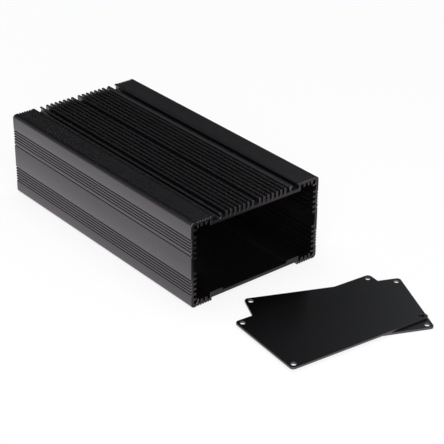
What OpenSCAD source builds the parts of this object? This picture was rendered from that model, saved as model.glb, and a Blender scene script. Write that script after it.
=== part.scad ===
// Extruded aluminium enclosure: one ribbed profile, open at both ends, and its two end plates.
// X runs across the open front, Y runs from the front opening to the back, Z is up.
// The origin is on the resting plane, under the middle of the extrusion.

/* [Body] */
// Overall width of the extrusion and of both plates
width = 104; // [101:0.5:130]
// Overall height of the extrusion and of both plates
height = 60; // [57:0.5:90]
// Length the extrusion is cut to
length = 200; // [60:1:300]
// Thickness of the side walls, bay roofs and feet
wall = 2; // [1.6:0.1:2.4]
// Radius of the four long outer edges
corner_radius = 2.6; // [1:0.1:3.4]

/* [Cooling fins] */
// Height of a fin above the web that carries it
fin_height = 4; // [3.4:0.1:5]
// Thickness of one fin
fin_thickness = 1.7; // [1.2:0.1:2.4]
// Radius of a fin's two upper edges
fin_edge_radius = 0.4; // [0.1:0.05:0.5]
// Distance from one fin to the next
fin_pitch = 3.5; // [3:0.1:3.6]
// Distance between the two middle fins
middle_pitch = 5.7; // [3:0.1:6]
// Number of fins on each side of the middle
fins_per_side = 7; // [1:1:7]
// Thickness of the web under the fins
web_thickness = 2; // [1.2:0.1:3]

/* [Mounting channels] */
// Distance of each channel from the middle of the top
channel_offset = 32; // [31:0.1:33]
// Clear width between the two lips of a channel
channel_opening = 4.4; // [3:0.1:5]
// Width of a channel under its lips
channel_width = 6.4; // [5.6:0.1:7]
// Thickness of a lip
lip_thickness = 1.1; // [0.8:0.1:1.6]
// Thickness of a channel's side walls
channel_wall = 1.6; // [1:0.1:1.9]

/* [Underside] */
// Height of the recessed floor above the feet
floor_lift = 2.2; // [1:0.1:3]
// Thickness of the floor
floor_thickness = 2.2; // [1.4:0.1:3]
// Extra thickness of the strip beside each foot
strip_thickness = 1.8; // [0.5:0.1:3]
// Width of the strip beside each foot
strip_width = 10; // [4:0.5:20]
// Thickness of a foot's inner upright
foot_wall = 1.1; // [0.8:0.1:1.6]

/* [Guide ribs] */
// How far a rib stands out from its wall
rib_height = 2.2; // [1:0.1:3]
// Thickness of a rib
rib_thickness = 1.7; // [1:0.1:2.2]
// Distance from one side rib to the next
rib_pitch = 3.65; // [3:0.05:4]
// Number of ribs in each side group
ribs_per_group = 5; // [1:1:5]
// Height of the lowest rib of the lower group
lower_rib_level = 9.4; // [8:0.1:10]
// Height of the lowest rib of the upper group
upper_rib_level = 34.8; // [30:0.1:35]
// Distance from the side to the first rib of a corner bay
bay_rib_inset = 8.6; // [8:0.1:9]
// Distance between the two ribs of a corner bay
bay_rib_pitch = 3.5; // [3:0.1:3.8]

/* [Grip lines] */
// Width of a line where it meets the surface
line_width = 1; // [0.5:0.1:1.4]
// Depth of a line
line_depth = 0.7; // [0.2:0.1:1]
// Width of a line at its bottom
line_root = 0.5; // [0.2:0.1:0.8]
// Distance between lines on the sides
side_line_pitch = 2.05; // [1.8:0.05:2.1]
// Height of the lowest line of the lower side group
lower_line_level = 9.7; // [8:0.1:14]
// Number of lines in the lower side group
lower_line_count = 6; // [1:1:7]
// Height of the lowest line of the upper side group
upper_line_level = 40.3; // [40:0.1:41]
// Number of lines in the upper side group
upper_line_count = 5; // [1:1:6]
// Height of the single line below the upper group
single_line_level = 37.3; // [30:0.1:38]
// Distance between lines on the bay roofs and the feet
bay_line_pitch = 2; // [1.6:0.1:2]
// Number of lines on each bay roof and each foot
bay_line_count = 6; // [1:1:6]

/* [Screw ports] */
// Distance of a screw port from the side and from the top or bottom
port_inset = 3.6; // [3.5:0.1:4]
// Bore of a screw port
port_bore = 2.9; // [2.4:0.1:3.2]
// Outer diameter of the ring round a screw port
port_ring = 5.4; // [4.8:0.1:5.8]
// Width of the gap that opens each ring
port_gap = 1.4; // [0.8:0.1:1.5]

/* [End plates] */
// Thickness of an end plate
plate_thickness = 1.5; // [1:0.1:3]
// Diameter of a plate's screw holes
plate_hole = 3.5; // [3.2:0.1:4.2]
// Clear distance from the front opening to the lower plate, its corners taken as sharp
lower_plate_gap = 12.7; // [10:0.1:60]
// Sideways place of the lower plate
lower_plate_shift = 14.9; // [0:0.1:30]
// Turn of the lower plate
lower_plate_turn = -24.2; // [-35:0.1:0]
// Sideways place of the upper plate on the lower one
upper_plate_shift = -9.4; // [-15:0.1:15]
// Forward place of the upper plate on the lower one
upper_plate_step = -5.1; // [-15:0.1:0]
// Turn of the upper plate
upper_plate_turn = -5.6; // [-35:0.1:0]

/* [Hidden] */
// extra reach of a cut past the surface it opens
cut = 1;
// angle of a screw port's gap towards the inside
gap_angle = 45;
web_top = height - fin_height;
web_bottom = web_top - web_thickness;
floor_top = floor_lift + floor_thickness;
channel_inner = channel_offset - channel_width / 2;
channel_outer = channel_offset + channel_width / 2;
channel_depth = fin_height - lip_thickness;
bay_edge = channel_outer + channel_wall;
foot_edge = bay_edge - foot_wall;
port_x = width / 2 - port_inset;
port_height = height - 2 * port_inset;
curl_x = channel_inner + channel_depth / 2;
curl_z = web_top + channel_depth / 2;
lower_plate_depth = width * sin(abs(lower_plate_turn)) + height * cos(lower_plate_turn);
lower_plate_y = -length / 2 - lower_plate_gap - lower_plate_depth / 2;

// the two mirrored halves of whatever is drawn on the right
module both_sides() {
    children();
    mirror([1, 0]) children();
}

// a rectangle with round corners, centred
module rounded_rectangle(across, up, radius) {
    square([across - 2 * radius, up], center = true);
    square([across, up - 2 * radius], center = true);
    for (x = [-1, 1], y = [-1, 1])
        translate([x * (across / 2 - radius), y * (up / 2 - radius)])
            circle(r = radius, $fn = 48);
}

// one line cut into a surface that faces up
module grip_line() {
    polygon([
        [-line_width / 2, 0], [-line_width / 2, cut], [line_width / 2, cut],
        [line_width / 2, 0], [line_root / 2, -line_depth], [-line_root / 2, -line_depth]
    ]);
}

// the lines in the right side wall
module side_lines() {
    module side_line(level) {
        translate([width / 2, level]) rotate(-90) grip_line();
    }
    for (i = [0 : lower_line_count - 1])
        side_line(lower_line_level + i * side_line_pitch);
    for (i = [0 : upper_line_count - 1])
        side_line(upper_line_level + i * side_line_pitch);
    side_line(single_line_level);
}

// the lines in the right bay roof and under the right foot
module bay_lines() {
    for (i = [0 : bay_line_count - 1])
        translate([bay_edge + line_width / 2 + i * bay_line_pitch, 0]) {
            translate([0, height]) grip_line();
            mirror([0, 1]) grip_line();
        }
}

// the right channel's hollow, its lips cut back to leave room for their round ends
module channel_hollow() {
    translate([curl_x, web_top])
        square([channel_outer - curl_x, channel_depth]);
    translate([curl_x, curl_z])
        circle(d = channel_depth, $fn = 36);
    translate([channel_offset - (channel_opening + lip_thickness) / 2, curl_z])
        square([channel_opening + lip_thickness, fin_height]);
}

// the round ends of the right channel's lips
module lip_ends() {
    for (side = [-1, 1])
        translate([
            channel_offset + side * (channel_opening + lip_thickness) / 2,
            height - lip_thickness / 2
        ])
            circle(d = lip_thickness, $fn = 24);
}

// the right half of the open field that the fins stand in
module fin_field() {
    difference() {
        translate([0, web_top]) square([curl_x, fin_height + cut]);
        translate([curl_x, curl_z])
            circle(r = channel_depth / 2 + channel_wall, $fn = 48);
    }
}

// one fin, standing in the web, with its two upper edges rounded
module fin() {
    flat_half = fin_thickness / 2 - fin_edge_radius;
    translate([-fin_thickness / 2, web_bottom])
        square([fin_thickness, height - fin_edge_radius - web_bottom]);
    translate([-flat_half, web_bottom])
        square([2 * flat_half, height - web_bottom]);
    for (side = [-1, 1])
        translate([side * flat_half, height - fin_edge_radius])
            circle(r = fin_edge_radius, $fn = 24);
}

// the fins on the right half
module fins() {
    for (i = [0 : fins_per_side - 1])
        translate([middle_pitch / 2 + i * fin_pitch, 0]) fin();
}

// the guide ribs of the right side wall and of the right corner bays
module ribs() {
    for (level = [lower_rib_level, upper_rib_level], i = [0 : ribs_per_group - 1])
        translate([width / 2 - wall - rib_height, level + i * rib_pitch - rib_thickness / 2])
            square([rib_height + wall / 2, rib_thickness]);
    for (i = [0, 1])
        translate([width / 2 - bay_rib_inset - i * bay_rib_pitch - rib_thickness / 2, 0]) {
            translate([0, wall / 2]) square([rib_thickness, rib_height + wall / 2]);
            translate([0, height - wall - rib_height])
                square([rib_thickness, rib_height + wall / 2]);
        }
}

// the rings of the two screw ports on the right
module port_rings() {
    for (z = [port_inset, height - port_inset])
        translate([port_x, z]) circle(d = port_ring, $fn = 48);
}

// the bores of the two screw ports on the right, with the gaps that open their rings
module port_bores() {
    for (end = [-1, 1])
        translate([port_x, height / 2 + end * port_height / 2]) {
            circle(d = port_bore, $fn = 36);
            rotate(180 + end * gap_angle)
                translate([0, -port_gap / 2]) square([port_ring, port_gap]);
        }
}

// the right half of the hollow that a circuit board or a battery goes into
module hollow() {
    difference() {
        translate([0, wall]) square([width / 2 - wall, height - 2 * wall]);
        translate([0, web_bottom]) square([bay_edge, height]);
        square([bay_edge, floor_top]);
        translate([bay_edge - strip_width, 0])
            square([strip_width, floor_top + strip_thickness]);
        ribs();
        port_rings();
    }
}

// the cross-section, the same along the whole length
module profile() {
    difference() {
        union() {
            difference() {
                translate([0, height / 2]) rounded_rectangle(width, height, corner_radius);
                both_sides() {
                    hollow();
                    fin_field();
                    channel_hollow();
                    side_lines();
                    bay_lines();
                }
                translate([-foot_edge, -cut]) square([2 * foot_edge, floor_lift + cut]);
            }
            both_sides() {
                fins();
                lip_ends();
            }
        }
        both_sides() port_bores();
    }
}

// the enclosure's body, sawn from one length of profile
module extrusion() {
    color("#34343a")
        rotate([90, 0, 0])
            linear_extrude(height = length, center = true)
                profile();
}

// one end plate, lying flat, its holes over the screw ports
module end_plate() {
    linear_extrude(height = plate_thickness)
        difference() {
            rounded_rectangle(width, height, corner_radius);
            for (x = [-1, 1], y = [-1, 1])
                translate([x * port_x, y * port_height / 2])
                    circle(d = plate_hole, $fn = 36);
        }
}

// the end plate that lies on the surface
module lower_plate() {
    color("#2a2a2e")
        translate([lower_plate_shift, lower_plate_y, 0])
            rotate([0, 0, lower_plate_turn])
                end_plate();
}

// the end plate that lies across the other
module upper_plate() {
    color("#3c3c42")
        translate([
            lower_plate_shift + upper_plate_shift,
            lower_plate_y + upper_plate_step,
            plate_thickness
        ])
            rotate([0, 0, upper_plate_turn])
                end_plate();
}

extrusion();
lower_plate();
upper_plate();
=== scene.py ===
"""Looks for an extruded aluminium enclosure, open at both ends, with its end plates lying in front."""

import math

import bmesh
import bpy
from mathutils import Matrix, Vector


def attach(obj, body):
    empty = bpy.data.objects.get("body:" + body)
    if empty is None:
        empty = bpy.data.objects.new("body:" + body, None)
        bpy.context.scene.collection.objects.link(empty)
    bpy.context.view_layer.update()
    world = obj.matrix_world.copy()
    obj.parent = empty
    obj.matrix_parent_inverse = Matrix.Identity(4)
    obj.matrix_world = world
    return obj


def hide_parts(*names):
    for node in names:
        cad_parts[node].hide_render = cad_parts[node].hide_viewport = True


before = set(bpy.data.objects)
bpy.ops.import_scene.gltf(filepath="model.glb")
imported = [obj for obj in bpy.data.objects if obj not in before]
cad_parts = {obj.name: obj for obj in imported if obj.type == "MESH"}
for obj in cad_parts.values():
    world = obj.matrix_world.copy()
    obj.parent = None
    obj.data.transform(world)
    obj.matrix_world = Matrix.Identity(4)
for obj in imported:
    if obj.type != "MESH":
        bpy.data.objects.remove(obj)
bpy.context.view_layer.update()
scene = bpy.context.scene


# ---- The body -------------------------------------------------------------------------------
# One length of 6063 aluminium profile, pushed hot through a die, so that every corner of its
# section is a little round. It is sawn to length, deburred, etched matt and anodised black.

SECTION_CORNER = 0.00018  # the die's own corner radius, metres
CORNER_POINTS = 2  # points on each of the section's round corners
SAW_BREAK = 0.00012  # edge that deburring takes off a sawn end
SHARP_TURN = math.radians(30)  # outline turns above this are corners, and those below it are arcs
CREASE = math.radians(32)  # faces that meet at more than this are shaded with an edge between them
WELD = 1e-6  # points closer than this are one point
SQUARE_ON = 0.99  # a face whose normal points this much along an axis lies square to it


def cut_outlines(node_name, across, up):
    """The closed outlines of a CAD solid's end, seen square on, with the metal on their left.

    Each is a list of (point, is_corner). The end's height along its normal and the length
    behind it come with them."""
    normal = across.cross(up)
    shape = bmesh.new()
    shape.from_mesh(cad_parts[node_name].data)
    bmesh.ops.remove_doubles(shape, verts=shape.verts, dist=WELD)
    heights = [v.co.dot(normal) for v in shape.verts]
    end, depth = max(heights), max(heights) - min(heights)
    end_faces = {
        face
        for face in shape.faces
        if face.normal.dot(normal) > SQUARE_ON
        and abs(face.calc_center_median().dot(normal) - end) < WELD
    }
    follows = {}
    for face in end_faces:
        for corner in face.loops:
            if any(other not in end_faces for other in corner.edge.link_faces):
                follows[corner.vert] = corner.link_loop_next.vert
    outlines = []
    while follows:
        ring, vert = [], next(iter(follows))
        while vert in follows:
            ring.append(Vector((vert.co.dot(across), vert.co.dot(up))))
            vert = follows.pop(vert)
        marked = []
        for i, point in enumerate(ring):
            before, after = point - ring[i - 1], ring[(i + 1) % len(ring)] - point
            marked.append((point, before.angle(after) > SHARP_TURN))
        outlines.append(marked)
    shape.free()
    return outlines, end, depth


def add_node(tree, kind, inputs=None, **settings):
    """One node, with its settings, and its inputs set to values or joined to other nodes' outputs."""
    made = tree.nodes.new(kind)
    for name, value in settings.items():
        setattr(made, name, value)
    for key, value in (inputs or {}).items():
        if isinstance(value, bpy.types.NodeSocket):
            tree.links.new(value, made.inputs[key])
        else:
            made.inputs[key].default_value = value
    return made


def section_tree():
    """Geometry nodes that turn outlines into a solid length with round corners and broken end edges."""
    tree = bpy.data.node_groups.new("section_to_length", "GeometryNodeTree")
    for name, kind in (
        ("Outlines", "NodeSocketGeometry"),
        ("Length", "NodeSocketFloat"),
        ("Corner Radius", "NodeSocketFloat"),
        ("Edge Break", "NodeSocketFloat"),
        ("Side Material", "NodeSocketMaterial"),
        ("End Material", "NodeSocketMaterial"),
    ):
        tree.interface.new_socket(name=name, in_out="INPUT", socket_type=kind)
    tree.interface.new_socket(name="Solid", in_out="OUTPUT", socket_type="NodeSocketGeometry")
    given = add_node(tree, "NodeGroupInput").outputs

    # Only the marked corners are rounded: a point's radius is 1 at a corner and 0 on an arc.
    marked = add_node(tree, "GeometryNodeInputRadius").outputs[0]
    radius = add_node(
        tree, "ShaderNodeMath", {0: marked, 1: given["Corner Radius"]}, operation="MULTIPLY"
    ).outputs[0]
    rounded = add_node(
        tree,
        "GeometryNodeFilletCurve",
        {
            "Curve": given["Outlines"],
            "Count": CORNER_POINTS,
            "Radius": radius,
            "Limit Radius": True,
        },
        mode="POLY",
    ).outputs[0]
    # The metal is on the left of each outline, so its outside is the tangent crossed with up.
    tangent = add_node(tree, "GeometryNodeInputTangent").outputs[0]
    outside = add_node(
        tree, "ShaderNodeVectorMath", {0: tangent, 1: (0, 0, 1)}, operation="CROSS_PRODUCT"
    ).outputs[0]
    kept = add_node(tree, "GeometryNodeCaptureAttribute", {0: rounded})
    kept.capture_items.new("VECTOR", "Outside")
    tree.links.new(outside, kept.inputs[1])
    away = kept.outputs[1]

    def shifted(geometry, amount, chosen=None):
        """The chosen points moved outwards by an amount."""
        offset = add_node(
            tree, "ShaderNodeVectorMath", {0: away, "Scale": amount}, operation="SCALE"
        ).outputs[0]
        wanted = {} if chosen is None else {"Selection": chosen}
        return add_node(
            tree, "GeometryNodeSetPosition", {"Geometry": geometry, "Offset": offset, **wanted}
        ).outputs[0]

    def raised(geometry, amount, chosen=None):
        """The chosen edges drawn up into a wall of a given height: the whole, and its top edges."""
        step = add_node(tree, "ShaderNodeCombineXYZ", {"Z": amount}).outputs[0]
        wanted = {} if chosen is None else {"Selection": chosen}
        wall = add_node(
            tree,
            "GeometryNodeExtrudeMesh",
            {"Mesh": geometry, "Offset": step, "Offset Scale": 1.0, **wanted},
            mode="EDGES",
        )
        return wall.outputs["Mesh"], wall.outputs["Top"]

    # The sides: a chamfer out, the straight length, and a chamfer back in.
    chamfer = given["Edge Break"]
    inward = add_node(tree, "ShaderNodeMath", {0: chamfer, 1: -1.0}, operation="MULTIPLY").outputs[0]
    both_chamfers = add_node(
        tree, "ShaderNodeMath", {0: chamfer, 1: 2.0}, operation="MULTIPLY"
    ).outputs[0]
    straight = add_node(
        tree, "ShaderNodeMath", {0: given["Length"], 1: both_chamfers}, operation="SUBTRACT"
    ).outputs[0]
    inset = shifted(kept.outputs[0], inward)
    wire = add_node(tree, "GeometryNodeCurveToMesh", {"Curve": inset}).outputs[0]
    lower, lower_top = raised(wire, chamfer)
    wall, wall_top = raised(shifted(lower, chamfer, lower_top), straight, lower_top)
    upper, upper_top = raised(wall, chamfer, wall_top)
    sides = shifted(upper, inward, upper_top)

    # The ends: the inset outline filled, at both ends of the length.
    near_end = add_node(tree, "GeometryNodeFillCurve", {"Curve": inset}, mode="TRIANGLES").outputs[0]
    whole = add_node(tree, "ShaderNodeCombineXYZ", {"Z": given["Length"]}).outputs[0]
    far_end = add_node(
        tree, "GeometryNodeTransform", {"Geometry": near_end, "Translation": whole}
    ).outputs[0]
    joined = add_node(tree, "GeometryNodeJoinGeometry")
    for part in (far_end, near_end, sides):
        tree.links.new(part, joined.inputs[0])
    closed = add_node(
        tree, "GeometryNodeMergeByDistance", {"Geometry": joined.outputs[0], "Distance": 2 * WELD}
    ).outputs[0]
    plain = add_node(tree, "GeometryNodeRealizeInstances", {"Geometry": closed}).outputs[0]
    finished = add_node(
        tree, "GeometryNodeSetMaterial", {"Geometry": plain, "Material": given["Side Material"]}
    ).outputs[0]
    # Only the end faces lie square to the length.
    facing = add_node(tree, "GeometryNodeInputNormal").outputs[0]
    along = add_node(tree, "ShaderNodeSeparateXYZ", {0: facing}).outputs["Z"]
    squareness = add_node(tree, "ShaderNodeMath", {0: along}, operation="ABSOLUTE").outputs[0]
    is_end = add_node(
        tree, "ShaderNodeMath", {0: squareness, 1: SQUARE_ON}, operation="GREATER_THAN"
    ).outputs[0]
    finished = add_node(
        tree,
        "GeometryNodeSetMaterial",
        {"Geometry": finished, "Selection": is_end, "Material": given["End Material"]},
    ).outputs[0]
    add_node(tree, "NodeGroupOutput", {0: finished})
    return tree


def cut_piece(name, node_name, across, up, corner, chamfer, side_material, end_material):
    """A plain mesh object of a CAD solid's section, drawn to its length, in the solid's own place."""
    outlines, end, length = cut_outlines(node_name, across, up)
    drawing = bpy.data.curves.new(name + "_outline", "CURVE")
    drawing.dimensions = "3D"
    for outline in outlines:
        line = drawing.splines.new("POLY")
        line.points.add(len(outline) - 1)
        line.use_cyclic_u = True
        for point, (place, is_corner) in zip(line.points, outline):
            point.co = (place.x, place.y, 0, 1)
            point.radius = 1.0 if is_corner else 0.0
    drawn = bpy.data.objects.new(name + "_drawn", drawing)
    scene.collection.objects.link(drawn)
    steps = drawn.modifiers.new("section", "NODES")
    steps.node_group = bpy.data.node_groups.get("section_to_length") or section_tree()
    sockets = {
        item.name: item.identifier
        for item in steps.node_group.interface.items_tree
        if item.in_out == "INPUT"
    }
    for socket, value in (
        ("Length", length),
        ("Corner Radius", corner),
        ("Edge Break", chamfer),
        ("Side Material", side_material),
        ("End Material", end_material),
    ):
        steps[sockets[socket]] = value
    ready = drawn.evaluated_get(bpy.context.evaluated_depsgraph_get())
    mesh = bpy.data.meshes.new_from_object(ready)
    bpy.data.objects.remove(drawn)
    normal = across.cross(up)
    placed = Matrix((across, up, normal)).transposed().to_4x4()
    placed.translation = normal * (end - length)
    mesh.transform(placed)
    shape = bmesh.new()
    shape.from_mesh(mesh)
    bmesh.ops.recalc_face_normals(shape, faces=shape.faces)
    shape.to_mesh(mesh)
    shape.free()
    mesh.name = name
    mesh.shade_smooth()
    mesh.set_sharp_from_angle(angle=CREASE)
    made = bpy.data.objects.new(name, mesh)
    scene.collection.objects.link(made)
    return made


def linear(hex_colour):
    """An sRGB hex colour as linear red, green, blue and alpha."""
    parts = [int(hex_colour[i : i + 2], 16) / 255 for i in (1, 3, 5)]
    return [p / 12.92 if p <= 0.04045 else ((p + 0.055) / 1.055) ** 2.4 for p in parts] + [1.0]


CLOUD_SIZE = 0.06  # width of the dye bath's slow changes of tone
GRAIN_HEIGHT = 0.00001  # height of the grain's relief
SHEEN_CHANGE = 0.03  # how far the roughness strays either way, from grain to grain


def anodised_aluminium(name, light, dark, metallic, roughness, grain, bump):
    """Aluminium under a dyed oxide film: dark satin metal, with a grain that the work left in it.

    grain is the grain's size in metres along X, Y and Z. light and dark are the dye's two tones."""
    material = bpy.data.materials.new(name)
    material.use_nodes = True
    tree = material.node_tree
    tree.nodes.clear()
    place = add_node(tree, "ShaderNodeTexCoord").outputs["Object"]
    stretched = add_node(
        tree, "ShaderNodeMapping", {"Vector": place, "Scale": [1 / size for size in grain]}
    ).outputs[0]
    grains = add_node(
        tree, "ShaderNodeTexNoise", {"Vector": stretched, "Scale": 1.0, "Detail": 3.0, "Roughness": 0.6}
    ).outputs[0]
    clouds = add_node(
        tree, "ShaderNodeTexNoise", {"Vector": place, "Scale": 1 / CLOUD_SIZE, "Detail": 1.0}
    ).outputs[0]
    tone = add_node(tree, "ShaderNodeMath", {0: grains, 1: clouds}, operation="MULTIPLY").outputs[0]
    # Inputs 6 and 7 are the Mix node's two colours.
    colour = add_node(
        tree, "ShaderNodeMix", {0: tone, 6: linear(dark), 7: linear(light)}, data_type="RGBA"
    ).outputs[2]
    sheen = add_node(
        tree,
        "ShaderNodeMapRange",
        {
            "Value": grains,
            "From Min": 0.3,
            "From Max": 0.7,
            "To Min": roughness - SHEEN_CHANGE,
            "To Max": roughness + SHEEN_CHANGE,
        },
    ).outputs[0]
    relief = add_node(
        tree, "ShaderNodeBump", {"Height": grains, "Strength": bump, "Distance": GRAIN_HEIGHT}
    ).outputs[0]
    surface = add_node(
        tree,
        "ShaderNodeBsdfPrincipled",
        {"Base Color": colour, "Roughness": sheen, "Normal": relief, "Metallic": metallic},
    ).outputs[0]
    add_node(tree, "ShaderNodeOutputMaterial", {"Surface": surface})
    return material


# Drawn faces carry die lines along the length. Real ones are too fine to show, so these are
# about 0.9 mm apart. They give a faint streak to a satin face.
drawn_face = anodised_aluminium(
    "black_anodised_drawn_face", "#646064", "#555155", 0.96, 0.21, (0.0009, 0.3, 0.0009), 0.1
)
# Sawn ends carry the blade's fine marks, upright and about 0.3 mm apart, which make the cut duller than the
# drawn faces.
# The cut's darker colour is painted shade: it stands in for the shadowed table that the open ends mirror.
sawn_end_with_painted_shade = anodised_aluminium(
    "black_anodised_sawn_end", "#383537", "#312e30", 0.92, 0.30, (0.0003, 0.0003, 0.012), 0.35
)

body = cut_piece(
    "body", "extrusion", Vector((1, 0, 0)), Vector((0, 0, 1)), SECTION_CORNER, SAW_BREAK, drawn_face, sawn_end_with_painted_shade
)
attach(body, "root")
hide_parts("extrusion")


# ---- The end plates -------------------------------------------------------------------------
# Two blanks of 1.5 mm aluminium sheet, punched to the outline of the section with four screw
# holes each, tumbled to take the burr off, then anodised black. They lie loose on the floor.

PUNCH_BREAK = 0.00015  # edge that tumbling takes off a punched blank

# Rolled sheet has no die lines, only a fine even tooth, drawn about 0.35 mm across.
rolled_sheet = anodised_aluminium(
    "black_anodised_rolled_sheet", "#5d5c60", "#525054", 1.0, 0.24, (0.00035, 0.00035, 0.00035), 0.1
)
# The punched edge is duller, with upright tears about 0.2 mm apart. Its lighter colour is a painted
# highlight, a light line along the plates' edges.
punched_edge_with_painted_highlight = anodised_aluminium(
    "black_anodised_punched_edge", "#666265", "#585457", 1.0, 0.34, (0.0002, 0.0002, 0.002), 0.4
)
for plate_name in ("lower_plate", "upper_plate"):
    plate = cut_piece(
        plate_name + "_blank",
        plate_name,
        Vector((1, 0, 0)),
        Vector((0, 1, 0)),
        0.0,
        PUNCH_BREAK,
        punched_edge_with_painted_highlight,
        rolled_sheet,
    )
    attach(plate, "root")
    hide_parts(plate_name)


# ---- The table and the light ----------------------------------------------------------------
# A plain white table in a room that is pale low down and dark above, with a wall on each side.
# A softbox hangs over the enclosure, and a wider one stands in front on the left.

TABLE_SIDE = 12.0
SHADE_FADES, SHADE_ENDS = 0.25, 0.9  # distances at which the table's shading fades and is gone

bpy.ops.mesh.primitive_plane_add(size=TABLE_SIDE, location=(0, 0, 0))
table = bpy.context.object
table.name = "table"
laminate = bpy.data.materials.new("white_laminate")
laminate.use_nodes = True
board = laminate.node_tree
board.nodes.clear()
paint = add_node(board, "ShaderNodeBsdfDiffuse", {"Color": linear("#f6f6f6")}).outputs[0]
glow = add_node(board, "ShaderNodeEmission", {"Color": (1, 1, 1, 1), "Strength": 1.0}).outputs[0]
rays = add_node(board, "ShaderNodeLightPath").outputs
seen = rays["Is Camera Ray"]
for ray in ("Is Glossy Ray", "Is Transmission Ray"):
    seen = add_node(board, "ShaderNodeMath", {0: seen, 1: rays[ray]}, operation="MAXIMUM").outputs[0]
# Near the enclosure the table keeps a fifth of its shading, for the shadow. Far out it is plain white.
spot = add_node(board, "ShaderNodeTexCoord").outputs["Object"]
distance = add_node(board, "ShaderNodeVectorMath", {0: spot}, operation="LENGTH").outputs["Value"]
plain = add_node(
    board,
    "ShaderNodeMapRange",
    {"Value": distance, "From Min": SHADE_FADES, "From Max": SHADE_ENDS, "To Min": 0.8, "To Max": 1.0},
).outputs[0]
share = add_node(board, "ShaderNodeMath", {0: seen, 1: plain}, operation="MULTIPLY").outputs[0]
blend = add_node(board, "ShaderNodeMixShader", {0: share, 1: paint, 2: glow}).outputs[0]
add_node(board, "ShaderNodeOutputMaterial", {"Surface": blend})
table.data.materials.append(laminate)

world = bpy.data.worlds.new("studio")
world.use_nodes = True
sky = world.node_tree
sky.nodes.clear()
towards = add_node(sky, "ShaderNodeTexCoord").outputs["Generated"]
height = add_node(sky, "ShaderNodeSeparateXYZ", {0: towards}).outputs["Z"]
# The room is pale up to about 2 degrees above the horizon, and dark from 8 degrees up.
level = add_node(
    sky,
    "ShaderNodeMapRange",
    {"Value": height, "From Min": 0.03, "From Max": 0.14, "To Min": 1.0, "To Max": 0.02},
    interpolation_type="SMOOTHSTEP",
).outputs[0]
# Each wall: which way it lies, how squarely a direction faces it where it starts and where it
# is full, and how bright it is.
for way, starts, full, brightness in (
    ((-0.6, 0.8, 0.0), 0.5, 0.97, 0.32),
    ((0.71, -0.71, 0.0), -0.03, 0.13, 0.5),
):
    facing = add_node(
        sky, "ShaderNodeVectorMath", {0: towards, 1: way}, operation="DOT_PRODUCT"
    ).outputs["Value"]
    wall = add_node(
        sky,
        "ShaderNodeMapRange",
        {"Value": facing, "From Min": starts, "From Max": full, "To Min": 0.0, "To Max": brightness},
        interpolation_type="SMOOTHSTEP",
    ).outputs[0]
    level = add_node(sky, "ShaderNodeMath", {0: level, 1: wall}, operation="MAXIMUM").outputs[0]
air = add_node(sky, "ShaderNodeBackground", {"Color": (0.94, 1.0, 0.99, 1), "Strength": level})
add_node(sky, "ShaderNodeOutputWorld", {"Surface": air.outputs[0]})
scene.world = world

AIM = Vector((0, 0, 0.03))  # the middle of the enclosure, which both lights point at
for name, place, size, power in (
    ("softbox", Vector((-0.02, 0.22, 1.2)), 0.8, 8.0),
    ("fill", Vector((-0.8, -1.15, 0.7)), 1.4, 24.0),
):
    lamp = bpy.data.lights.new(name, "AREA")
    lamp.shape = "SQUARE"
    lamp.size = size
    lamp.energy = power
    fitted = bpy.data.objects.new(name, lamp)
    fitted.location = place
    fitted.rotation_euler = (AIM - place).to_track_quat("-Z", "Y").to_euler()
    scene.collection.objects.link(fitted)


# ---- The camera -----------------------------------------------------------------------------
# A long lens from the front left, a little above.

CAMERA_PLACE = Vector((-0.53899, -0.72343, 0.49498))
TURN, TILT, ROLL = 0.6867, -0.5012, 0.0086  # to the right of +Y, up, and about its own line of sight

lens = bpy.data.cameras.new("camera")
lens.sensor_width = 36.0
lens.lens = 121.7
lens.clip_start, lens.clip_end = 0.05, 30.0
ahead = Vector((math.sin(TURN) * math.cos(TILT), math.cos(TURN) * math.cos(TILT), math.sin(TILT)))
level_right = Vector((math.cos(TURN), -math.sin(TURN), 0))
level_up = level_right.cross(ahead)
right = math.cos(ROLL) * level_right + math.sin(ROLL) * level_up
upward = math.cos(ROLL) * level_up - math.sin(ROLL) * level_right
facing_ahead = Matrix((right, upward, -ahead)).transposed().to_4x4()
camera = bpy.data.objects.new("camera", lens)
camera.matrix_world = Matrix.Translation(CAMERA_PLACE) @ facing_ahead
scene.collection.objects.link(camera)
scene.camera = camera
scene.view_settings.view_transform = "Standard"
